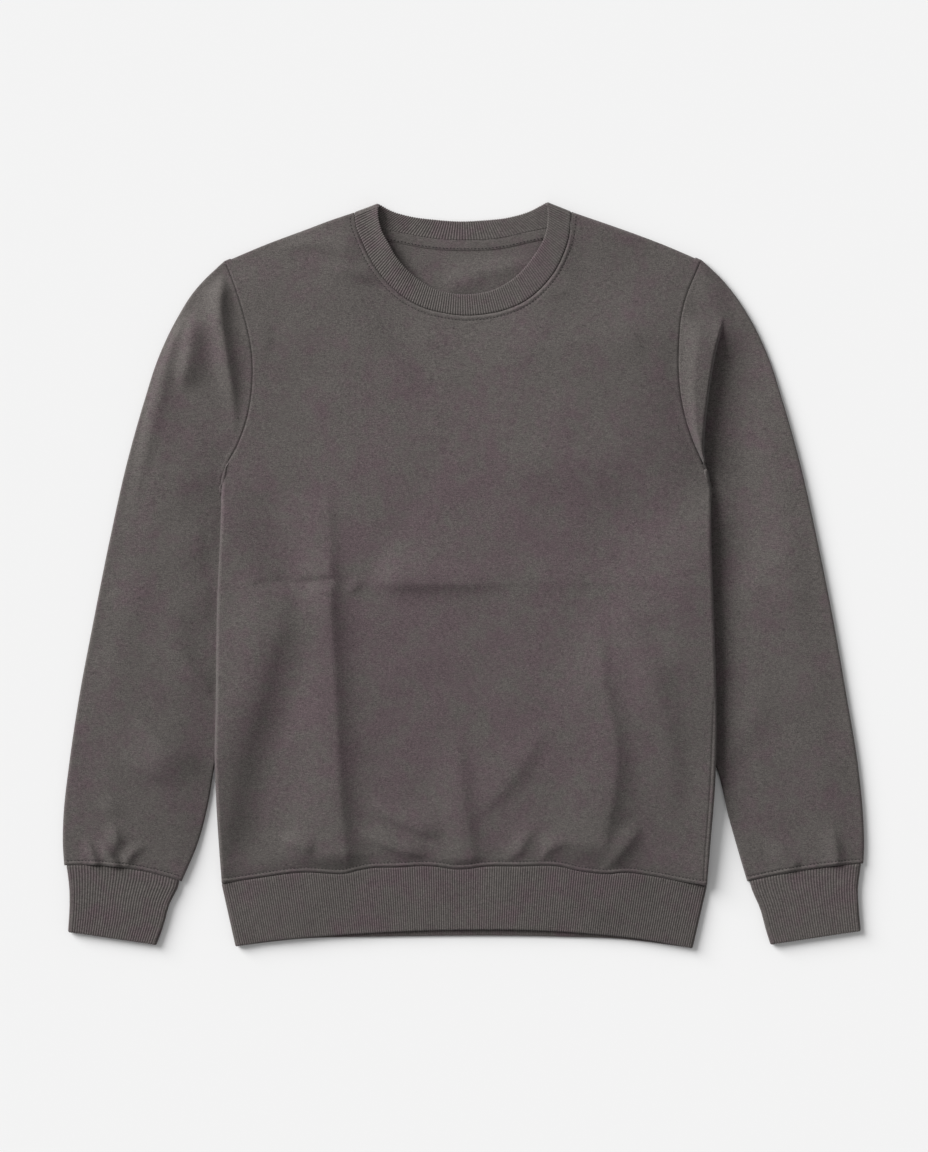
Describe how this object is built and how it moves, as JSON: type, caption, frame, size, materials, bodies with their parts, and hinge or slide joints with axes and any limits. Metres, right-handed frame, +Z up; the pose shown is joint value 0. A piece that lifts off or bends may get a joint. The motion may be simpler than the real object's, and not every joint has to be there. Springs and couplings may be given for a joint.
{
  "type": "crewneck sweatshirt",
  "caption": "Long-sleeved crewneck sweatshirt lying flat on its back, with ribbed collar, cuffs and hem band, its sleeves slanting down beside the body.",
  "frame": {"origin": "bottom centre of the bounding box, on the surface that the garment lies on", "axes": "+X across the chest to the viewer's right, +Y from the hem to the neck, +Z up through the cloth, with the front panel on top"},
  "size_m": [0.759, 0.7079, 0.01],
  "materials": {
    "fleece": "matte, softly napped fleece-backed jersey",
    "rib_knit": "matte 1x1 rib knit"
  },
  "bodies": {
    "root": {"body_front": "fleece", "body_back": "fleece", "sleeve_left": "fleece", "sleeve_right": "fleece", "cuff_left": "rib_knit", "cuff_right": "rib_knit", "waistband": "rib_knit", "collar": "rib_knit", "neck_tape": "fleece"}
  },
  "joints": []
}
